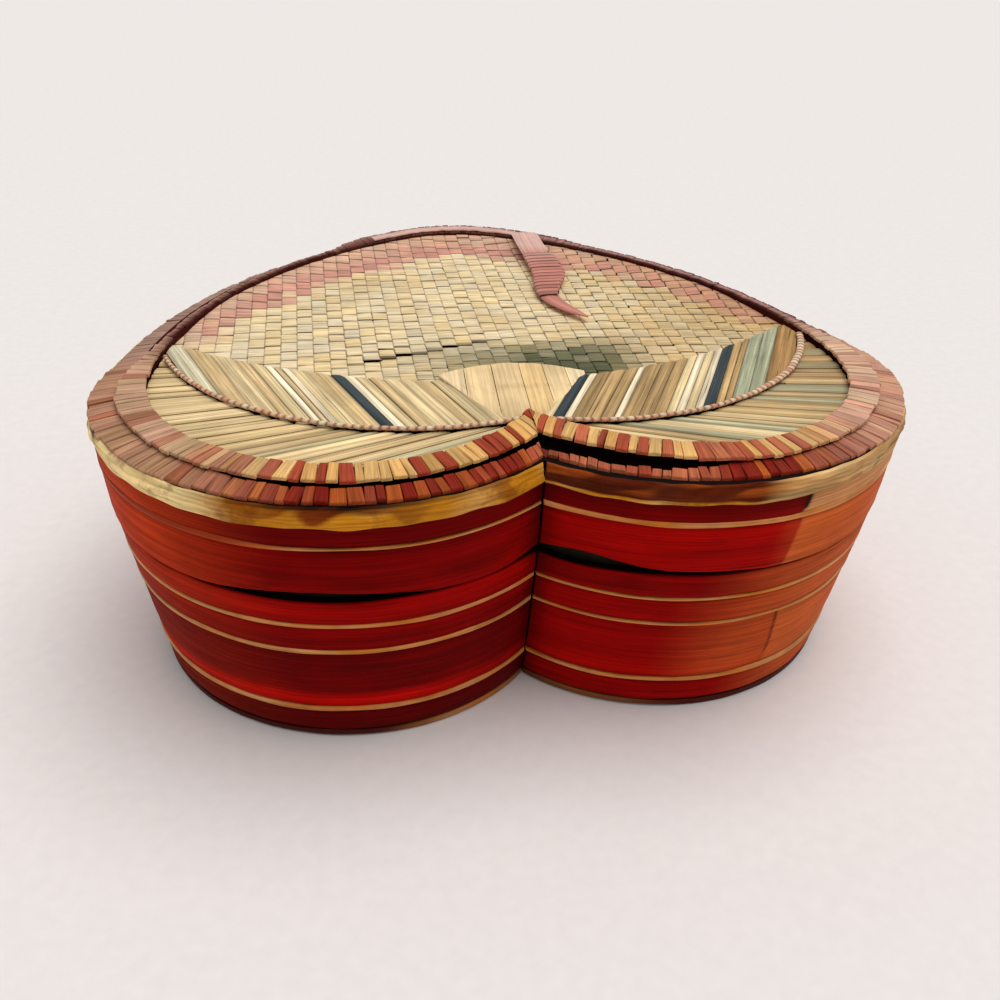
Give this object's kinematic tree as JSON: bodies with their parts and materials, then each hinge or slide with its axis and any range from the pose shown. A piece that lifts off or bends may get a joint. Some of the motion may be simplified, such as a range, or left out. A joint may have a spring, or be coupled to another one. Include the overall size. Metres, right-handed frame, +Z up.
{
  "type": "straw box",
  "caption": "Heart-shaped straw-work box with a lift-off lid, red leaf-strip walls, a woven lid top with a fan and wings in straw, and a wrapped leaf pull tab.",
  "frame": {"origin": "on the ground, under the middle of the box", "axes": "+Z up, +Y towards the tip of the heart, -Y towards the cleft between the lobes, +X to the right as seen from the cleft"},
  "size_m": [0.21, 0.1969, 0.0766],
  "materials": {
    "core_card": "plain card core",
    "red_leaf": "dyed red leaf, satin",
    "natural_straw": "natural straw, satin",
    "edging_straw": "short straws in red, rose and natural",
    "plaited_straw": "plaited natural straw, matt",
    "wrapped_cord": "cord wrapped in red and natural leaf",
    "pink_leaf": "dyed pink leaf, matt"
  },
  "bodies": {
    "base": {"base_floor": "core_card", "base_wall": "core_card", "base_collar": "plaited_straw", "floor_mat": "plaited_straw", "foot_binding_left": "natural_straw", "foot_binding_right": "natural_straw", "base_low_strip_left": "red_leaf", "base_low_strip_right": "red_leaf", "base_low_line_left": "natural_straw", "base_low_line_right": "natural_straw", "base_wide_strip_left": "red_leaf", "base_wide_strip_right": "red_leaf", "base_middle_line_left": "natural_straw", "base_middle_line_right": "natural_straw", "base_middle_strip_left": "red_leaf", "base_middle_strip_right": "red_leaf", "base_upper_line_left": "natural_straw", "base_upper_line_right": "natural_straw", "base_upper_strip_left": "red_leaf", "base_upper_strip_right": "red_leaf"},
    "lid": {"lid_board": "core_card", "lid_skirt": "core_card", "lid_lining": "plaited_straw", "skirt_wide_strip_left": "red_leaf", "skirt_wide_strip_right": "red_leaf", "skirt_line_left": "natural_straw", "skirt_line_right": "natural_straw", "skirt_narrow_strip_left": "red_leaf", "skirt_narrow_strip_right": "red_leaf", "rim_band_left": "natural_straw", "rim_band_right": "natural_straw", "lower_hoop": "core_card", "lower_edging_left": "edging_straw", "lower_edging_right": "edging_straw", "upper_hoop": "core_card", "upper_edging_left": "edging_straw", "upper_edging_right": "edging_straw", "woven_sheet": "plaited_straw", "border_straws_left": "plaited_straw", "border_straws_right": "plaited_straw", "wing_straws_left": "plaited_straw", "wing_straws_right": "plaited_straw", "fan_straws": "natural_straw", "wing_cord_left": "wrapped_cord", "wing_cord_right": "wrapped_cord", "rim_strip": "pink_leaf"},
    "tab": {"tab_leaf": "pink_leaf", "tab_wrapping": "pink_leaf"}
  },
  "joints": [
    {"name": "lid_lift", "type": "slide", "parent": "base", "child": "lid", "axis": [0, 0, 1], "range_m": [0, 0.08]},
    {"name": "tab_lift", "type": "hinge", "parent": "lid", "child": "tab", "pos_m": [0.0255, 0.07569, 0.0762], "axis": [-1, 0, 0], "range_deg": [0, 110]}
  ]
}
